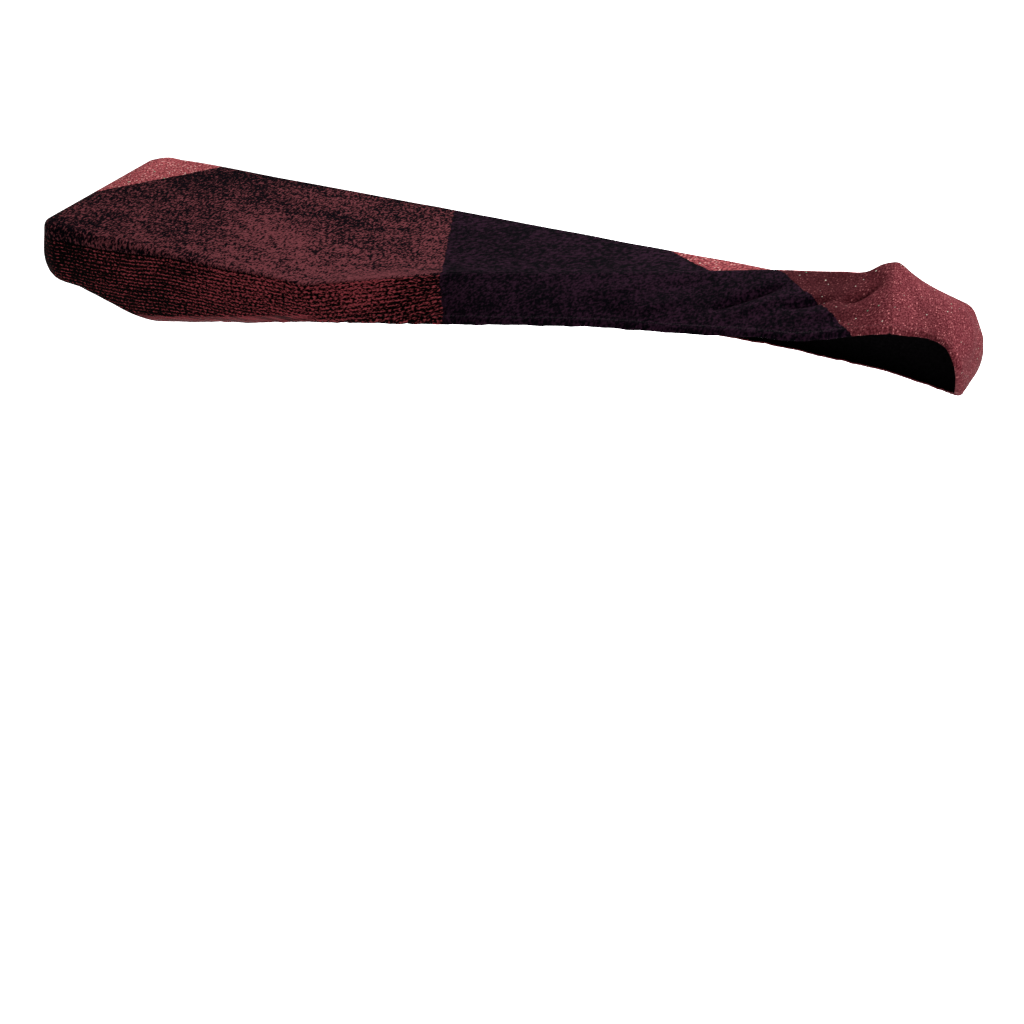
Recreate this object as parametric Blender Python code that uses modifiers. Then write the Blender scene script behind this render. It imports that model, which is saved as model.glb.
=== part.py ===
"""Piano cover: a fitted stretch dust cover of five sewn panels, drawn back at its right front.

Metres, +Z up, +X to the right along the cover, +Y to the back. The origin lies under the middle
of the flat top. Each section across the cover is a rounded path from the front hem up to the
crest seam, over the top and down to the back hem. Short tables give the corners of that path,
and the panels are lofted through them.
"""

import bmesh
import bpy
import numpy as np

# Driving sizes: the depth that the cover fits, the thickness of its cloth, and the gaps between
# panels at the top seam and at the seams of the end panels.
FIT_DEPTH = 0.295
CLOTH = 0.0015
SEAM_GAP = 0.0003
CORNER_GAP = 0.0009

# Distance between sections, closer together where the front is slack.
STATION_STEP = 0.034
SLACK_STEP = 0.012
SLACK_FROM = 0.34

# Radii of the rounded corners of a section, but for those that its tables give.
EDGE_ROUND = 0.010
SEAM_ROUND = 0.007
MIDDLE_ROUND = 0.040
FOOT_ROUND = 0.014

# Share of the way from the crest to the back seam at which the shelf and the back edge stand.
SHELF_SHARE = 0.32
EDGE_SHARE = 0.82

# Share of its length by which the part that is tucked under rises.
TUCK_RISE = 0.12

# Front of the cover from left to right. "in" is measured back from the fitted front plane, and
# "up" from the underside of the flat top. The foot is the lowest line of the front that shows,
# "tuck" is the width that turns under it to the hem, and "bow" swells the drop outwards.
FRONT_COLUMNS = (
    "along", "crest_in", "crest_up", "foot_x", "foot_in", "foot_up", "tuck", "bow",
)
FRONT_SECTIONS = (
    (-0.655, 0.009, -0.020, -0.674, 0.013, -0.090, 0.013, 0.009),
    (-0.637, 0.000, -0.018, -0.649, 0.001, -0.091, 0.018, 0.006),
    (-0.600, 0.000, -0.017, -0.605, 0.000, -0.095, 0.024, 0.004),
    (-0.546, 0.000, -0.016, -0.547, 0.000, -0.110, 0.028, 0.004),
    (-0.505, 0.000, -0.014, -0.505, 0.000, -0.121, 0.029, 0.004),
    (-0.467, 0.000, -0.011, -0.467, 0.000, -0.124, 0.028, 0.004),
    (-0.417, 0.000, -0.005, -0.417, 0.000, -0.115, 0.025, 0.004),
    (-0.294, 0.000, -0.001, -0.294, 0.000, -0.087, 0.016, 0.004),
    (-0.204, 0.000, 0.003, -0.204, 0.000, -0.065, 0.010, 0.004),
    (-0.160, 0.001, 0.002, -0.160, 0.000, -0.055, 0.008, 0.004),
    (-0.119, 0.010, 0.009, -0.119, 0.000, -0.046, 0.007, 0.004),
    (-0.073, 0.019, 0.018, -0.073, 0.000, -0.035, 0.006, 0.004),
    (-0.016, 0.034, 0.028, -0.016, 0.000, -0.023, 0.005, 0.004),
    (0.047, 0.060, 0.034, 0.047, 0.001, -0.009, 0.005, 0.004),
    (0.129, 0.089, 0.037, 0.129, 0.012, 0.003, 0.005, 0.004),
    (0.255, 0.141, 0.039, 0.258, 0.060, 0.004, 0.005, 0.004),
    (0.341, 0.178, 0.040, 0.345, 0.084, 0.004, 0.005, 0.004),
    (0.427, 0.217, 0.041, 0.434, 0.112, 0.004, 0.005, 0.004),
    (0.500, 0.243, 0.042, 0.505, 0.135, 0.004, 0.005, 0.004),
    (0.531, 0.256, 0.044, 0.550, 0.160, 0.008, 0.005, 0.004),
    (0.546, 0.268, 0.054, 0.571, 0.167, 0.011, 0.005, 0.004),
    (0.557, 0.277, 0.056, 0.586, 0.171, 0.013, 0.005, 0.004),
)

# Top of the cover: the shelf is where the cloth comes down flat behind the crest, and the edge
# is where it turns down at the back. "swell" pushes both out at the left end, and the rounds
# are the radii of the bends at the crest and the shelf.
TOP_COLUMNS = (
    "along", "shelf_in", "shelf_up", "edge_in", "edge_up", "swell", "crest_round", "shelf_round",
)
TOP_SECTIONS = (
    (-0.655, 0.020, -0.003, 0.276, -0.002, -0.003, 0.005, 0.014),
    (-0.637, 0.008, 0.001, 0.290, 0.000, -0.004, 0.005, 0.014),
    (-0.600, 0.006, 0.001, 0.294, 0.000, -0.003, 0.005, 0.014),
    (-0.417, 0.008, 0.001, 0.295, 0.000, 0.000, 0.006, 0.016),
    (-0.294, 0.014, 0.001, 0.296, 0.000, 0.000, 0.007, 0.020),
    (-0.204, 0.030, 0.001, 0.297, 0.000, 0.000, 0.007, 0.030),
    (-0.119, 0.075, 0.000, 0.298, 0.000, 0.000, 0.007, 0.050),
    (-0.016, 0.110, 0.000, 0.298, 0.000, 0.000, 0.007, 0.060),
    (0.129, 0.147, 0.000, 0.298, 0.000, 0.000, 0.007, 0.060),
    (0.255, 0.195, 0.001, 0.298, 0.000, 0.000, 0.007, 0.060),
    (0.341, 0.228, 0.002, 0.298, 0.000, 0.000, 0.007, 0.060),
    (0.427, 0.258, 0.006, 0.298, 0.000, 0.000, 0.007, 0.050),
    (0.500, 0.274, 0.012, 0.298, 0.000, 0.000, 0.008, 0.040),
    (0.531, 0.283, 0.018, 0.299, 0.001, 0.000, 0.011, 0.040),
    (0.546, 0.291, 0.018, 0.300, 0.000, 0.000, 0.016, 0.040),
    (0.557, 0.296, 0.017, 0.301, -0.002, 0.000, 0.020, 0.040),
)

# Back of the cover: its seam lies on the back edge at the left and slides down to the right,
# where the top is drawn back over the edge.
REAR_COLUMNS = (
    "along", "seam_x", "seam_in", "seam_up", "foot_x", "foot_in", "foot_up", "tuck", "bow",
)
REAR_SECTIONS = (
    (-0.655, -0.679, 0.286, -0.014, -0.682, 0.284, -0.108, 0.014, 0.007),
    (-0.637, -0.661, 0.297, -0.011, -0.662, 0.297, -0.112, 0.020, 0.005),
    (-0.600, -0.622, 0.299, -0.010, -0.620, 0.301, -0.117, 0.031, 0.003),
    (-0.417, -0.420, 0.300, -0.010, -0.420, 0.302, -0.116, 0.031, 0.003),
    (-0.204, -0.204, 0.302, -0.014, -0.204, 0.303, -0.113, 0.030, 0.003),
    (-0.073, -0.073, 0.303, -0.021, -0.073, 0.304, -0.111, 0.030, 0.003),
    (0.129, 0.129, 0.305, -0.034, 0.129, 0.305, -0.108, 0.030, 0.003),
    (0.341, 0.350, 0.306, -0.047, 0.350, 0.306, -0.106, 0.028, 0.003),
    (0.427, 0.445, 0.307, -0.050, 0.445, 0.306, -0.107, 0.026, 0.003),
    (0.500, 0.545, 0.308, -0.050, 0.545, 0.306, -0.110, 0.024, 0.004),
    (0.531, 0.600, 0.309, -0.048, 0.598, 0.304, -0.114, 0.022, 0.006),
    (0.546, 0.648, 0.307, -0.046, 0.640, 0.295, -0.118, 0.020, 0.008),
    (0.557, 0.676, 0.302, -0.044, 0.661, 0.282, -0.118, 0.018, 0.011),
)

# Foot lines of the end panels, from the front corner seam to the back one. "share" runs along
# the panel's top seam, and "bow" swells the panel outwards.
END_COLUMNS = ("share", "foot_x", "foot_in", "foot_up", "tuck", "bow")
LEFT_END = (
    (0.00, -0.674, 0.013, -0.090, 0.013, 0.009),
    (0.07, -0.681, 0.032, -0.092, 0.018, 0.009),
    (0.50, -0.684, 0.150, -0.100, 0.028, 0.009),
    (0.93, -0.688, 0.263, -0.107, 0.020, 0.007),
    (1.00, -0.682, 0.284, -0.108, 0.014, 0.007),
)
RIGHT_END = (
    (0.00, 0.586, 0.171, 0.013, 0.005, 0.004),
    (0.12, 0.608, 0.174, 0.014, 0.005, 0.008),
    (0.26, 0.633, 0.174, 0.016, 0.005, 0.012),
    (0.38, 0.652, 0.165, 0.016, 0.005, 0.017),
    (0.50, 0.667, 0.153, 0.011, 0.006, 0.018),
    (0.60, 0.676, 0.152, -0.006, 0.006, 0.020),
    (0.72, 0.677, 0.182, -0.046, 0.007, 0.020),
    (0.86, 0.672, 0.232, -0.088, 0.010, 0.018),
    (1.00, 0.661, 0.282, -0.118, 0.018, 0.011),
)

# How far from its corner seams an end panel keeps the form of its neighbours.
CORNER_SHARE = 0.22

# Soft diagonal troughs in the slack right half of the front, by place along and share down its
# height from the crest to the hem.
FOLD_COLUMNS = ("from_along", "from_down", "to_along", "to_down", "half_width", "depth")
FRONT_FOLDS = (
    (0.392, 0.60, 0.430, 0.34, 0.011, 0.0040),
    (0.412, 0.80, 0.472, 0.44, 0.011, 0.0040),
    (0.506, 0.52, 0.540, 0.30, 0.010, 0.0040),
    (0.470, 0.30, 0.530, 0.12, 0.012, 0.0030),
)
SLACK_HEIGHT = 0.10

# Steps of a whole bend and of half a bend, and points on the run between two bends.
WHOLE_BEND = (0.0, 0.5, 1.0)
HALF_BEND = (0.5, 0.75, 1.0)
RUN_POINTS = 2

MAROON = (0.075, 0.012, 0.018)
CORAL = (0.330, 0.055, 0.075)
ROUGHNESS = 0.85


def unit(vectors):
    return vectors / np.maximum(np.linalg.norm(vectors, axis=-1, keepdims=True), 1e-12)


def place(x, inward, up):
    """Points from their place along, their distance behind the front plane and their height."""
    return np.stack([x, inward - FIT_DEPTH / 2, up], axis=-1)


def read_table(names, rows, keys):
    """Columns of a table by name, read smoothly at the given values of the first column."""
    table = np.array(rows)
    knots = table[:, 0]
    widths = np.diff(knots)[:, None]
    slopes = np.diff(table, axis=0) / widths
    tangents = np.empty_like(table)
    tangents[0] = slopes[0]
    tangents[-1] = slopes[-1]
    mixed = slopes[:-1] * widths[1:] + slopes[1:] * widths[:-1]
    tangents[1:-1] = mixed / (widths[1:] + widths[:-1])
    cell = np.clip(np.searchsorted(knots, keys, side="right") - 1, 0, len(knots) - 2)
    width = widths[cell]
    t = (keys[:, None] - knots[cell][:, None]) / width
    values = table[cell] * (2 * t**3 - 3 * t**2 + 1)
    values += table[cell + 1] * (3 * t**2 - 2 * t**3)
    values += tangents[cell] * width * (t**3 - 2 * t**2 + t)
    values += tangents[cell + 1] * width * (t**3 - t**2)
    return dict(zip(names, values.T))


def station_keys():
    """Places along the cover where a section is built, closer together in the slack part."""
    rows = [row[0] for row in FRONT_SECTIONS]
    keys = []
    for low, high in zip(rows, rows[1:]):
        step = SLACK_STEP if low > SLACK_FROM else STATION_STEP
        steps = max(1, round((high - low) / step))
        keys += list(np.linspace(low, high, steps, endpoint=False))
    return np.array(keys + [rows[-1]])


def bend(before, corner, after, radius, shares):
    """Points on a rounded corner, at shares of its turn from 0 to 1."""
    back = before - corner
    forth = after - corner
    nearest = 1e-9
    back_share = radius / np.maximum(np.linalg.norm(back, axis=-1, keepdims=True), nearest)
    forth_share = radius / np.maximum(np.linalg.norm(forth, axis=-1, keepdims=True), nearest)
    start = corner + back * np.minimum(back_share, 0.48)
    end = corner + forth * np.minimum(forth_share, 0.48)
    return [start * (1 - t) ** 2 + corner * 2 * t * (1 - t) + end * t**2 for t in shares]


def follow(corners, radii, first=HALF_BEND, last=None):
    """Rows of points along a rounded path, from the bend at its second corner to its last corner,
    or to the middle of the bend before it where last gives that bend's shares."""
    rows = []
    end = len(corners) - 2
    for i in range(1, end + 1):
        shares = WHOLE_BEND
        if i == 1:
            shares = first
        elif i == end and last:
            shares = last
        points = bend(corners[i - 1], corners[i], corners[i + 1], radii[i - 1], shares)
        if rows:
            gap = points[0] - rows[-1]
            rows += [rows[-1] + gap * k / (RUN_POINTS + 1) for k in range(1, RUN_POINTS + 1)]
        rows += points
    if not last:
        rows.append(corners[-1])
    return np.array(rows)


def drop(seam, foot, tuck, bow, side):
    """Middle, foot and hem corners of a drop that hangs from its seam and is tucked under. side
    is 1 where the cover's outside lies to the right of the line of feet, and -1 on its left."""
    run = np.gradient(foot, axis=0)
    outward = unit(np.cross(foot - seam, run)) * side
    middle = (seam + foot) / 2 + outward * bow
    rise = np.array([0, 0, TUCK_RISE])
    hem = foot + (rise - outward) * tuck
    return middle, foot, hem


def fold_depth(along, down, row):
    """Depth of one soft trough at places along and shares down of the front panel."""
    fold = dict(zip(FOLD_COLUMNS, row))
    start = np.array([fold["from_along"], fold["from_down"] * SLACK_HEIGHT])
    end = np.array([fold["to_along"], fold["to_down"] * SLACK_HEIGHT])
    reach = end - start
    at = np.stack([along, down * SLACK_HEIGHT], axis=-1) - start
    share = np.clip(at @ reach / (reach @ reach), 0, 1)
    away = np.linalg.norm(at - share[..., None] * reach, axis=-1)
    return fold["depth"] * np.exp(-((away / fold["half_width"]) ** 2))


def crease_front(keys, grid):
    """Press the soft troughs into the front panel, but not at its crest and corner seams."""
    down = np.linspace(0, 1, len(grid))[:, None] + 0 * keys
    along = keys + 0 * down
    depth = sum(fold_depth(along, down, row) for row in FRONT_FOLDS)
    depth[0] = 0
    depth[:, -1] = 0
    outward = unit(np.cross(np.gradient(grid, axis=0), np.gradient(grid, axis=1)))
    return grid - outward * depth[..., None]


def main_panels():
    """Grids of the front, top and back panels: rows across the cover, columns along it."""
    keys = station_keys()
    front = read_table(FRONT_COLUMNS, FRONT_SECTIONS, keys)
    top = read_table(TOP_COLUMNS, TOP_SECTIONS, keys)
    rear = read_table(REAR_COLUMNS, REAR_SECTIONS, keys)

    crest = place(keys, front["crest_in"], front["crest_up"])
    reach = rear["seam_x"] - keys
    shelf_x = keys + reach * SHELF_SHARE + top["swell"]
    edge_x = keys + reach * EDGE_SHARE + top["swell"]
    shelf = place(shelf_x, top["shelf_in"], top["shelf_up"])
    edge = place(edge_x, top["edge_in"], top["edge_up"])
    rear_seam = place(rear["seam_x"], rear["seam_in"], rear["seam_up"])

    front_foot = place(front["foot_x"], front["foot_in"], front["foot_up"])
    rear_foot = place(rear["foot_x"], rear["foot_in"], rear["foot_up"])
    front_drop = drop(crest, front_foot, front["tuck"][:, None], front["bow"][:, None], 1)
    rear_drop = drop(rear_seam, rear_foot, rear["tuck"][:, None], rear["bow"][:, None], -1)

    crest_round = top["crest_round"][:, None]
    shelf_round = top["shelf_round"][:, None]
    drop_rounds = [MIDDLE_ROUND, FOOT_ROUND]
    front_grid = follow([shelf, crest, *front_drop], [crest_round] + drop_rounds)
    rear_grid = follow([edge, rear_seam, *rear_drop], [SEAM_ROUND] + drop_rounds)
    top_grid = follow(
        [front_drop[0], crest, shelf, edge, rear_seam, rear_drop[0]],
        [crest_round, shelf_round, EDGE_ROUND, SEAM_ROUND],
        last=(0.0, 0.25, 0.5),
    )
    return crease_front(keys, front_grid), top_grid, rear_grid


def end_panel(seam, front_side, rear_side, table, side):
    """Grid of an end panel below its top seam, between the sides of the front and the back."""
    steps = np.linalg.norm(np.diff(seam, axis=0), axis=-1)
    share = np.concatenate([[0], np.cumsum(steps)]) / steps.sum()
    end = read_table(END_COLUMNS, table, share)
    foot = place(end["foot_x"], end["foot_in"], end["foot_up"])
    corners = drop(seam, foot, end["tuck"][:, None], end["bow"][:, None], side)
    rounds = [SEAM_ROUND, MIDDLE_ROUND, FOOT_ROUND]
    grid = follow([seam, seam, *corners], rounds, first=WHOLE_BEND)
    near_front = np.clip(1 - share / CORNER_SHARE, 0, 1) ** 2
    near_rear = np.clip(1 - (1 - share) / CORNER_SHARE, 0, 1) ** 2
    grid += (front_side - grid[:, 0])[:, None] * near_front[:, None]
    grid += (rear_side - grid[:, -1])[:, None] * near_rear[:, None]
    return grid


def stand_back(grid, gaps):
    """Grid whose named sides stand back from their seams by half the gap given for each."""
    grid = grid.copy()
    borders = {
        "start": (np.s_[0, :], np.s_[1, :]),
        "end": (np.s_[-1, :], np.s_[-2, :]),
        "left": (np.s_[:, 0], np.s_[:, 1]),
        "right": (np.s_[:, -1], np.s_[:, -2]),
    }
    for side, gap in gaps.items():
        border, inner = borders[side]
        grid[border] += unit(grid[inner] - grid[border]) * gap / 2
    return grid


def cloth_material(name, colour):
    material = bpy.data.materials.new(name)
    material.use_nodes = True
    shader = material.node_tree.nodes["Principled BSDF"]
    shader.inputs["Base Color"].default_value = (*colour, 1)
    shader.inputs["Roughness"].default_value = ROUGHNESS
    shader.inputs["Metallic"].default_value = 0
    material.diffuse_color = (*colour, 1)
    return material


def add_panel(collection, name, grid, gaps, colour, flip=False):
    """Panel of cloth on a grid of points of its inner face, thickened outwards."""
    grid = stand_back(grid, gaps)
    rows, columns = grid.shape[:2]
    shape = bmesh.new()
    bmesh.ops.create_grid(shape, x_segments=columns - 1, y_segments=rows - 1, size=1)
    for vertex, point in zip(shape.verts, grid.reshape(-1, 3)):
        vertex.co = point
    if flip:
        bmesh.ops.reverse_faces(shape, faces=shape.faces)
    mesh = bpy.data.meshes.new(name)
    shape.to_mesh(mesh)
    shape.free()
    mesh.shade_smooth()
    mesh.materials.append(cloth_material(name, colour))
    panel = bpy.data.objects.new(name, mesh)
    collection.objects.link(panel)
    thickness = panel.modifiers.new("Cloth thickness", "SOLIDIFY")
    thickness.thickness = CLOTH
    thickness.offset = 1


def build_cover():
    for thing in list(bpy.data.objects):
        bpy.data.objects.remove(thing, do_unlink=True)
    collection = bpy.data.collections.new("piano_cover")
    bpy.context.scene.collection.children.link(collection)

    front, top, rear = main_panels()
    left = end_panel(top[:, 0], front[:, 0], rear[:, 0], LEFT_END, -1)
    right = end_panel(top[:, -1], front[:, -1], rear[:, -1], RIGHT_END, 1)

    top_gaps = dict.fromkeys(("start", "end", "left", "right"), SEAM_GAP)
    drop_gaps = {"start": SEAM_GAP, "left": CORNER_GAP, "right": CORNER_GAP}
    end_gaps = dict.fromkeys(drop_gaps, CORNER_GAP)
    add_panel(collection, "top_panel", top, top_gaps, MAROON)
    add_panel(collection, "front_panel", front, drop_gaps, MAROON, flip=True)
    add_panel(collection, "back_panel", rear, drop_gaps, MAROON)
    add_panel(collection, "left_end_panel", left, end_gaps, MAROON)
    add_panel(collection, "right_end_panel", right, end_gaps, CORAL, flip=True)


build_cover()
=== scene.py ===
"""Looks of the piano cover: five panels of printed stretch knit, their seams and elastic hem.

Metres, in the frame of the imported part: +Z up, +X to the right along the cover, +Y to the back.
The panels follow the sections of the part, much finer. Their UV layers are in metres of cloth:
"weave" is the place along a panel and the distance from its top seam, "blocks" the place on the
whole print, across it from 0 at the crest seam, and "edge" the height above the foot.
"""

import math
from functools import partialmethod

import bpy
import numpy as np
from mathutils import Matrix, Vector, noise

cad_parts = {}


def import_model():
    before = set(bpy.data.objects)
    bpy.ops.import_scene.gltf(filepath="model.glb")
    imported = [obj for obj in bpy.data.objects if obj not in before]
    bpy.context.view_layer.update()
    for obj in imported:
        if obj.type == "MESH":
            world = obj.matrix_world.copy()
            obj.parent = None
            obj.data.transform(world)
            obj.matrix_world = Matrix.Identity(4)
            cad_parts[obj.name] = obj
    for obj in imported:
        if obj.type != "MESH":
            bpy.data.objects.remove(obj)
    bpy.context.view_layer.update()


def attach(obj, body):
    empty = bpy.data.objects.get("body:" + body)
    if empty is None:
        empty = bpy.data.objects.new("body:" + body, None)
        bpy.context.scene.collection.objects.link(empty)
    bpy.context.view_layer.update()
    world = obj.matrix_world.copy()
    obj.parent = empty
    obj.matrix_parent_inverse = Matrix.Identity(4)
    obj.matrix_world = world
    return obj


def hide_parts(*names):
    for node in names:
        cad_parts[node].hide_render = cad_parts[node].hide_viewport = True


# Depth of the fitted body. The sections are measured back from its front plane.
FIT_DEPTH = 0.295

# Radii of the rounded corners of a section, but for those that its tables give.
EDGE_ROUND = 0.010
SEAM_ROUND = 0.007
MIDDLE_ROUND = 0.040
FOOT_ROUND = 0.014

# Share of the way from the crest to the back seam at which the shelf and the back edge stand.
SHELF_SHARE = 0.32
EDGE_SHARE = 0.82

# Share of its length by which the part that is tucked under rises.
TUCK_RISE = 0.12

# A bend takes at most this share of the run on either side of its corner.
BEND_LIMIT = 0.48

# A length that counts as none, and a distance that is far from every edge.
TINY = 1e-12
FAR = 9.0

# Front of the cover from left to right. "in" is measured back from the fitted front plane, and
# "up" from the underside of the flat top. The foot is the lowest line of the front that shows,
# "tuck" is the width that turns under it to the hem, and "bow" swells the drop outwards.
FRONT_COLUMNS = ("along", "crest_in", "crest_up", "foot_x", "foot_in", "foot_up", "tuck", "bow")
FRONT_SECTIONS = (
    (-0.655, 0.009, -0.020, -0.674, 0.013, -0.090, 0.013, 0.009),
    (-0.637, 0.000, -0.018, -0.649, 0.001, -0.091, 0.018, 0.006),
    (-0.600, 0.000, -0.017, -0.605, 0.000, -0.095, 0.024, 0.004),
    (-0.546, 0.000, -0.016, -0.547, 0.000, -0.110, 0.028, 0.004),
    (-0.505, 0.000, -0.014, -0.505, 0.000, -0.121, 0.029, 0.004),
    (-0.467, 0.000, -0.011, -0.467, 0.000, -0.124, 0.028, 0.004),
    (-0.417, 0.000, -0.005, -0.417, 0.000, -0.115, 0.025, 0.004),
    (-0.294, 0.000, -0.001, -0.294, 0.000, -0.087, 0.016, 0.004),
    (-0.204, 0.000, 0.003, -0.204, 0.000, -0.065, 0.010, 0.004),
    (-0.160, 0.001, 0.002, -0.160, 0.000, -0.055, 0.008, 0.004),
    (-0.119, 0.010, 0.009, -0.119, 0.000, -0.046, 0.007, 0.004),
    (-0.073, 0.019, 0.018, -0.073, 0.000, -0.035, 0.006, 0.004),
    (-0.016, 0.034, 0.028, -0.016, 0.000, -0.023, 0.005, 0.004),
    (0.047, 0.060, 0.034, 0.047, 0.001, -0.009, 0.005, 0.004),
    (0.129, 0.089, 0.037, 0.129, 0.012, 0.003, 0.005, 0.004),
    (0.255, 0.141, 0.039, 0.258, 0.060, 0.004, 0.005, 0.004),
    (0.341, 0.178, 0.040, 0.345, 0.084, 0.004, 0.005, 0.004),
    (0.427, 0.217, 0.041, 0.434, 0.112, 0.004, 0.005, 0.004),
    (0.500, 0.243, 0.042, 0.505, 0.135, 0.004, 0.005, 0.004),
    (0.531, 0.256, 0.044, 0.550, 0.160, 0.008, 0.005, 0.004),
    (0.546, 0.268, 0.054, 0.571, 0.167, 0.011, 0.005, 0.004),
    (0.557, 0.277, 0.056, 0.586, 0.171, 0.013, 0.005, 0.004),
)

# Top of the cover: the shelf is where the cloth comes down flat behind the crest, and the edge
# is where it turns down at the back. "swell" pushes both out at the left end, and the rounds
# are the radii of the bends at the crest and the shelf.
TOP_COLUMNS = (
    "along", "shelf_in", "shelf_up", "edge_in", "edge_up", "swell", "crest_round", "shelf_round",
)
TOP_SECTIONS = (
    (-0.655, 0.020, -0.003, 0.276, -0.002, -0.003, 0.005, 0.014),
    (-0.637, 0.008, 0.001, 0.290, 0.000, -0.004, 0.005, 0.014),
    (-0.600, 0.006, 0.001, 0.294, 0.000, -0.003, 0.005, 0.014),
    (-0.417, 0.008, 0.001, 0.295, 0.000, 0.000, 0.006, 0.016),
    (-0.294, 0.014, 0.001, 0.296, 0.000, 0.000, 0.007, 0.020),
    (-0.204, 0.030, 0.001, 0.297, 0.000, 0.000, 0.007, 0.030),
    (-0.119, 0.075, 0.000, 0.298, 0.000, 0.000, 0.007, 0.050),
    (-0.016, 0.110, 0.000, 0.298, 0.000, 0.000, 0.007, 0.060),
    (0.129, 0.147, 0.000, 0.298, 0.000, 0.000, 0.007, 0.060),
    (0.255, 0.195, 0.001, 0.298, 0.000, 0.000, 0.007, 0.060),
    (0.341, 0.228, 0.002, 0.298, 0.000, 0.000, 0.007, 0.060),
    (0.427, 0.258, 0.006, 0.298, 0.000, 0.000, 0.007, 0.050),
    (0.500, 0.274, 0.012, 0.298, 0.000, 0.000, 0.008, 0.040),
    (0.531, 0.283, 0.018, 0.299, 0.001, 0.000, 0.011, 0.040),
    (0.546, 0.291, 0.018, 0.300, 0.000, 0.000, 0.016, 0.040),
    (0.557, 0.296, 0.017, 0.301, -0.002, 0.000, 0.020, 0.040),
)

# Back of the cover: its seam lies on the back edge at the left and slides down to the right,
# where the top is drawn back over the edge.
REAR_COLUMNS = (
    "along", "seam_x", "seam_in", "seam_up", "foot_x", "foot_in", "foot_up", "tuck", "bow",
)
REAR_SECTIONS = (
    (-0.655, -0.679, 0.286, -0.014, -0.682, 0.284, -0.108, 0.014, 0.007),
    (-0.637, -0.661, 0.297, -0.011, -0.662, 0.297, -0.112, 0.020, 0.005),
    (-0.600, -0.622, 0.299, -0.010, -0.620, 0.301, -0.117, 0.031, 0.003),
    (-0.417, -0.420, 0.300, -0.010, -0.420, 0.302, -0.116, 0.031, 0.003),
    (-0.204, -0.204, 0.302, -0.014, -0.204, 0.303, -0.113, 0.030, 0.003),
    (-0.073, -0.073, 0.303, -0.021, -0.073, 0.304, -0.111, 0.030, 0.003),
    (0.129, 0.129, 0.305, -0.034, 0.129, 0.305, -0.108, 0.030, 0.003),
    (0.341, 0.350, 0.306, -0.047, 0.350, 0.306, -0.106, 0.028, 0.003),
    (0.427, 0.445, 0.307, -0.050, 0.445, 0.306, -0.107, 0.026, 0.003),
    (0.500, 0.545, 0.308, -0.050, 0.545, 0.306, -0.110, 0.024, 0.004),
    (0.531, 0.600, 0.309, -0.048, 0.598, 0.304, -0.114, 0.022, 0.006),
    (0.546, 0.648, 0.307, -0.046, 0.640, 0.295, -0.118, 0.020, 0.008),
    (0.557, 0.676, 0.302, -0.044, 0.661, 0.282, -0.118, 0.018, 0.011),
)

# Foot lines of the end panels, from the front corner seam to the back one. "share" runs along
# the panel's top seam, and "bow" swells the panel outwards.
END_COLUMNS = ("share", "foot_x", "foot_in", "foot_up", "tuck", "bow")
LEFT_END = (
    (0.00, -0.674, 0.013, -0.090, 0.013, 0.009),
    (0.07, -0.681, 0.032, -0.092, 0.018, 0.009),
    (0.50, -0.684, 0.150, -0.100, 0.028, 0.009),
    (0.93, -0.688, 0.263, -0.107, 0.020, 0.007),
    (1.00, -0.682, 0.284, -0.108, 0.014, 0.007),
)
RIGHT_END = (
    (0.00, 0.586, 0.171, 0.013, 0.005, 0.004),
    (0.12, 0.608, 0.174, 0.014, 0.005, 0.008),
    (0.26, 0.633, 0.174, 0.016, 0.005, 0.012),
    (0.38, 0.652, 0.165, 0.016, 0.005, 0.017),
    (0.50, 0.667, 0.153, 0.011, 0.006, 0.018),
    (0.60, 0.676, 0.152, -0.006, 0.006, 0.020),
    (0.72, 0.677, 0.182, -0.046, 0.007, 0.020),
    (0.86, 0.672, 0.232, -0.088, 0.010, 0.018),
    (1.00, 0.661, 0.282, -0.118, 0.018, 0.011),
)

# How far from its corner seams an end panel keeps the form of its neighbours.
CORNER_SHARE = 0.22

# Distances from a seam and from the hem's edge at which the fine mesh has a row, how many steps
# lie between them, and the distance between columns.
SEAM_ROWS = (0.0, 0.0007, 0.0015, 0.0025, 0.0037, 0.0050, 0.0065, 0.0085)
HEM_ROWS = (
    0.0, 0.0002, 0.0005, 0.0010, 0.0018, 0.0030, 0.0050, 0.0070, 0.0090, 0.0102,
    0.0110, 0.0118, 0.0128, 0.0140, 0.0160,
)
TOP_STEPS = 84
DROP_STEPS = 32
COLUMN_STEP = 0.0040
SLACK_COLUMN_STEP = 0.0030
SLACK_FROM = 0.34

# Points on each bend of a section, dense enough to be spaced anew by distance.
WHOLE_BEND = np.linspace(0.0, 1.0, 25)
START_BEND = np.linspace(0.0, 1.0, 13)
SECOND_HALF = np.linspace(0.5, 1.0, 13)
FIRST_HALF = np.linspace(0.0, 0.5, 13)
RUN_POINTS = 24

# The knit, the padded casing of the hem and its stitch line, and the sewn-in valley at a seam.
# The casing fades out from a little beyond its stitch line, and its nose is the round of the
# hem's edge, which starts at a share of the full thickness.
KNIT = 0.0011
CASING = 0.0024
CASING_WIDTH = 0.0110
CASING_BEYOND = 0.002
CASING_FADE = 0.003
STITCH_GROOVE = 0.0006
GROOVE_WIDTH = 0.0009
NOSE = 0.0012
NOSE_SHARE = 0.30
SEAM_KNIT = 0.0006
SEAM_CURL = 0.0005
SEAM_REACH = 0.0016

# How far from a seam or a hem the relief of the cloth has faded out.
RELIEF_FADE = 0.014

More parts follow.
